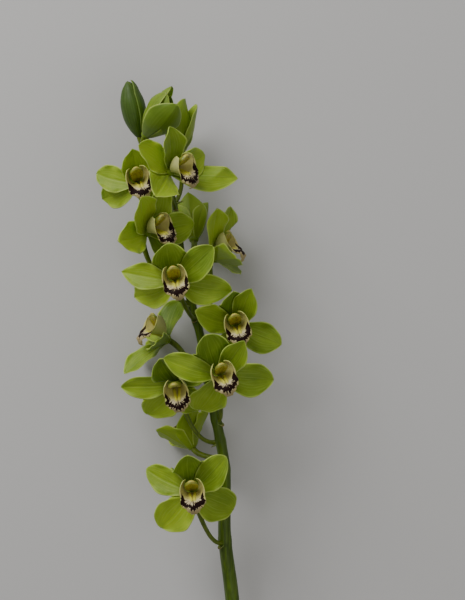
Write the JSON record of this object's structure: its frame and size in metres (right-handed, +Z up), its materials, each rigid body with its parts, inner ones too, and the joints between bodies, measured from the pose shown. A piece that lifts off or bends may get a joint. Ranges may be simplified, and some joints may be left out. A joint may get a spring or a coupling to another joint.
{
  "type": "cymbidium orchid stem",
  "caption": "Cut spray of green orchid blooms with cream, dark-banded lips along one arching stalk, lying on its side for bouquets, vases and still lifes.",
  "frame": {"origin": "on the table surface, under the middle of the outline", "axes": "+Y along the stalk from the cut end to the buds, +Z up off the table towards the faces of the open blooms, +X to the right seen from above"},
  "size_m": [0.1734, 0.6458, 0.1365],
  "materials": {
    "stalk": "waxy smooth green stalk",
    "tepals": "soft satin petal",
    "young_tepals": "soft satin, darker outside",
    "closed_bud": "waxy bud",
    "lip": "velvety cream",
    "column": "waxy"
  },
  "bodies": {
    "root": {"bloom_01_tepals": "tepals", "bloom_01_lip": "lip", "bloom_01_column": "column", "bloom_02_tepals": "tepals", "bloom_02_lip": "lip", "bloom_02_column": "column", "bloom_03_tepals": "tepals", "bloom_03_lip": "lip", "bloom_03_column": "column", "bloom_04_tepals": "tepals", "bloom_04_lip": "lip", "bloom_04_column": "column", "bloom_05_tepals": "tepals", "bloom_05_lip": "lip", "bloom_05_column": "column", "bloom_06_tepals": "tepals", "bloom_06_lip": "lip", "bloom_06_column": "column", "bloom_07_tepals": "tepals", "bloom_07_lip": "lip", "bloom_07_column": "column", "bloom_08_tepals": "tepals", "bloom_08_lip": "lip", "bloom_08_column": "column", "bloom_09_tepals": "tepals", "bloom_09_lip": "lip", "bloom_09_column": "column", "bloom_10_tepals": "tepals", "bloom_10_lip": "lip", "bloom_10_column": "column", "bloom_11_tepals": "tepals", "bloom_11_lip": "lip", "bloom_11_column": "column", "half_open_bloom_1_tepals": "young_tepals", "half_open_bloom_2_tepals": "young_tepals", "half_open_bloom_3_tepals": "young_tepals", "closed_bud": "closed_bud", "stem": "stalk"}
  },
  "joints": []
}
